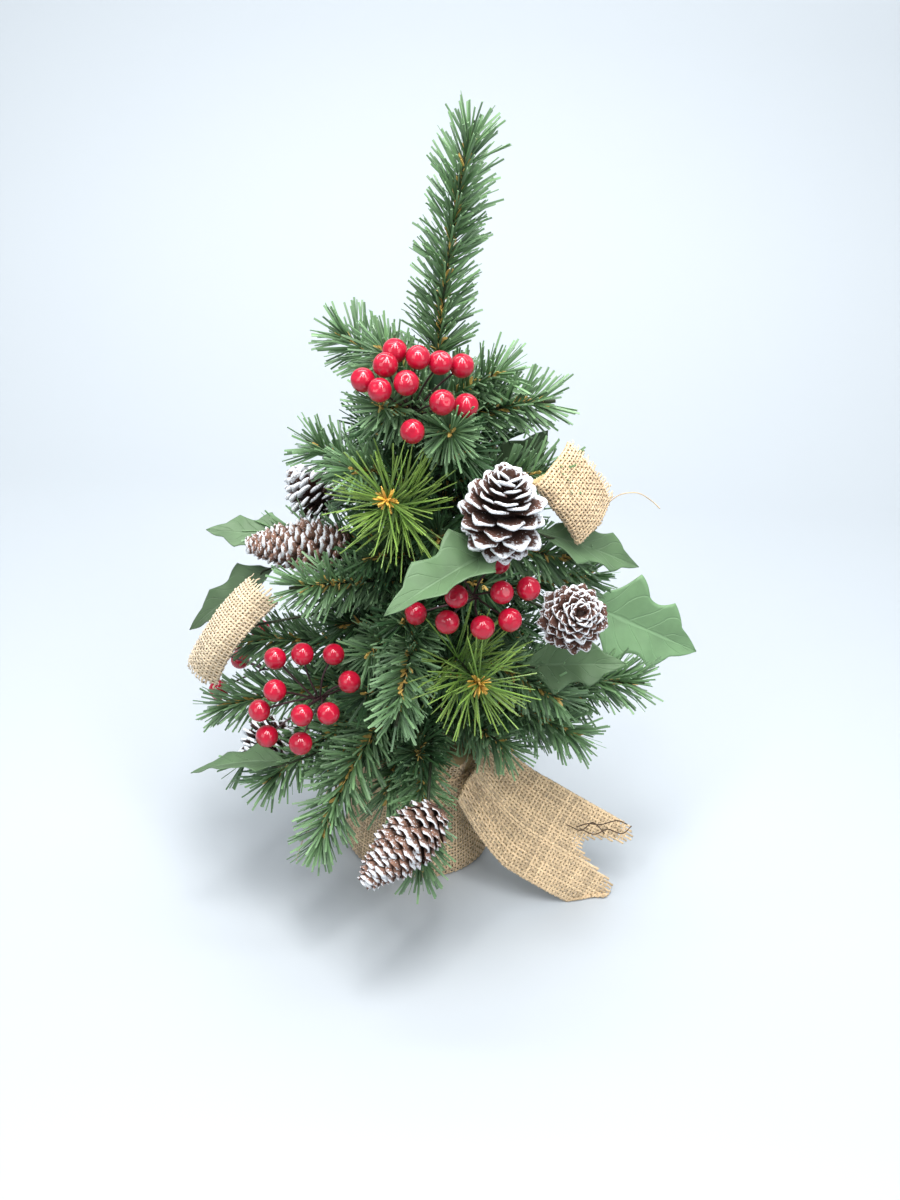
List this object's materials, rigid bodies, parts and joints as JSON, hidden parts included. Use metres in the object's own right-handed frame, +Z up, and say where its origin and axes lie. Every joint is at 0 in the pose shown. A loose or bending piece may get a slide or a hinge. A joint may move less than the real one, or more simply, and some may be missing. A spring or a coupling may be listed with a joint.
{
  "type": "artificial tabletop tree",
  "caption": "Small artificial fir tree on a burlap-wrapped weighted base, with bendable needle tips, frosted cones, red berry picks, fabric leaves and burlap ribbon.",
  "frame": {"origin": "centre of the base's flat underside, on the surface it stands on", "axes": "+Z up along the trunk, -Y toward the front, where the ribbon tail lies to the +X side"},
  "size_m": [0.3113, 0.2357, 0.4472],
  "materials": {
    "pot_plastic": "moulded, hidden under the burlap",
    "plaster": "cast plaster, rough",
    "burlap": "coarse natural jute weave with frayed edges",
    "trunk_rod": "dark green, satin",
    "tape": "green floral tape, matt",
    "wire": "dark twisted wire",
    "needles": "cut film needles, satin",
    "pine_needles": "long drawn needles, satin, yellow-green tips",
    "cone": "dry cone scales with white frosted edges",
    "berry": "high-gloss red lacquer",
    "leaf": "printed polyester, matt, with pressed veins"
  },
  "bodies": {
    "base_and_trunk": {"base_cup": "pot_plastic", "base_weight": "plaster", "base_wrap": "burlap", "berries_back_left": "berry", "berries_centre": "berry", "berries_lower_left": "berry", "berries_upper": "berry", "cone_back_left": "cone", "cone_left": "cone", "cone_lower_left": "cone", "cone_right": "cone", "cone_upper": "cone", "leaf_centre": "leaf", "leaf_left_lower": "leaf", "leaf_left_middle": "leaf", "leaf_left_upper": "leaf", "leaf_right_large": "leaf", "leaf_right_lower": "leaf", "leaf_right_upper": "leaf", "leaf_upper_right": "leaf", "ribbon_left": "burlap", "ribbon_right": "burlap", "tie_knot": "burlap", "tie_tail": "burlap", "trunk": "trunk_rod", "trunk_tape": "tape", "wrap_tie": "burlap"},
    "leader": {"leader_needles": "needles", "leader_wire": "wire"},
    "top_left": {"top_left_needles": "needles", "top_left_wire": "wire"},
    "top_right": {"top_right_needles": "needles", "top_right_wire": "wire"},
    "shoulder_left": {"shoulder_left_needles": "needles", "shoulder_left_wire": "wire"},
    "mid_left": {"mid_left_needles": "needles", "mid_left_wire": "wire"},
    "mid_right": {"mid_right_needles": "needles", "mid_right_wire": "wire"},
    "mid_front": {"mid_front_needles": "needles", "mid_front_wire": "wire"},
    "low_left": {"low_left_needles": "needles", "low_left_wire": "wire"},
    "low_right": {"low_right_needles": "needles", "low_right_wire": "wire"},
    "skirt_left": {"skirt_left_needles": "needles", "skirt_left_wire": "wire"},
    "skirt_front": {"cone_front": "cone", "skirt_front_needles": "needles", "skirt_front_wire": "wire"},
    "back_top": {"back_top_needles": "needles", "back_top_wire": "wire"},
    "back_left": {"back_left_needles": "needles", "back_left_wire": "wire"},
    "back_right": {"back_right_needles": "needles", "back_right_wire": "wire"},
    "pine_upper": {"pine_upper_needles": "pine_needles", "pine_upper_wire": "wire"},
    "pine_right": {"pine_right_needles": "pine_needles", "pine_right_wire": "wire"}
  },
  "joints": [
    {"name": "leader_bend", "type": "hinge", "parent": "base_and_trunk", "child": "leader", "pos_m": [0, 0, 0.3168], "axis": [0, -1, 0], "range_deg": [-15, 15]},
    {"name": "top_left_bend", "type": "hinge", "parent": "base_and_trunk", "child": "top_left", "pos_m": [-0.00585, 0.00135, 0.3], "axis": [0.225, 0.9744, 0], "range_deg": [-12, 25]},
    {"name": "top_right_bend", "type": "hinge", "parent": "base_and_trunk", "child": "top_right", "pos_m": [0.00577, -0.00165, 0.286], "axis": [-0.2756, -0.9613, 0], "range_deg": [-6, 25]},
    {"name": "shoulder_left_bend", "type": "hinge", "parent": "base_and_trunk", "child": "shoulder_left", "pos_m": [-0.00587, -0.00125, 0.234], "axis": [-0.2079, 0.9781, 0], "range_deg": [-12, 25]},
    {"name": "mid_left_bend", "type": "hinge", "parent": "base_and_trunk", "child": "mid_left", "pos_m": [-0.00479, -0.00361, 0.188], "axis": [-0.6018, 0.7986, 0], "range_deg": [-10, 20]},
    {"name": "mid_right_bend", "type": "hinge", "parent": "base_and_trunk", "child": "mid_right", "pos_m": [0.00589, -0.00114, 0.174], "axis": [-0.1908, -0.9816, 0], "range_deg": [-8, 25]},
    {"name": "mid_front_bend", "type": "hinge", "parent": "base_and_trunk", "child": "mid_front", "pos_m": [-0.00073, -0.00596, 0.176], "axis": [-0.9925, 0.1219, 0], "range_deg": [-10, 15]},
    {"name": "low_left_bend", "type": "hinge", "parent": "base_and_trunk", "child": "low_left", "pos_m": [-0.00598, -0.00052, 0.14], "axis": [-0.0872, 0.9962, 0], "range_deg": [-12, 15]},
    {"name": "low_right_bend", "type": "hinge", "parent": "base_and_trunk", "child": "low_right", "pos_m": [0.00585, -0.00135, 0.118], "axis": [-0.225, -0.9744, 0], "range_deg": [-15, 12]},
    {"name": "skirt_left_bend", "type": "hinge", "parent": "base_and_trunk", "child": "skirt_left", "pos_m": [-0.003, -0.0052, 0.118], "axis": [-0.866, 0.5, 0], "range_deg": [-10, 20]},
    {"name": "skirt_front_bend", "type": "hinge", "parent": "base_and_trunk", "child": "skirt_front", "pos_m": [0.00021, -0.006, 0.104], "axis": [-0.9994, -0.0349, 0], "range_deg": [0, 20]},
    {"name": "back_top_bend", "type": "hinge", "parent": "base_and_trunk", "child": "back_top", "pos_m": [0.00104, 0.00591, 0.262], "axis": [0.9848, -0.1736, 0], "range_deg": [-12, 30]},
    {"name": "back_left_bend", "type": "hinge", "parent": "base_and_trunk", "child": "back_left", "pos_m": [-0.00386, 0.0046, 0.15], "axis": [0.766, 0.6428, 0], "range_deg": [-12, 30]},
    {"name": "back_right_bend", "type": "hinge", "parent": "base_and_trunk", "child": "back_right", "pos_m": [0.00386, 0.0046, 0.196], "axis": [0.766, -0.6428, 0], "range_deg": [-12, 30]},
    {"name": "pine_upper_bend", "type": "hinge", "parent": "base_and_trunk", "child": "pine_upper", "pos_m": [-0.00165, -0.00577, 0.222], "axis": [-0.9613, 0.2756, 0], "range_deg": [-12, 20]},
    {"name": "pine_right_bend", "type": "hinge", "parent": "base_and_trunk", "child": "pine_right", "pos_m": [0.00175, -0.00574, 0.16], "axis": [-0.9563, -0.2924, 0], "range_deg": [-12, 10]}
  ]
}
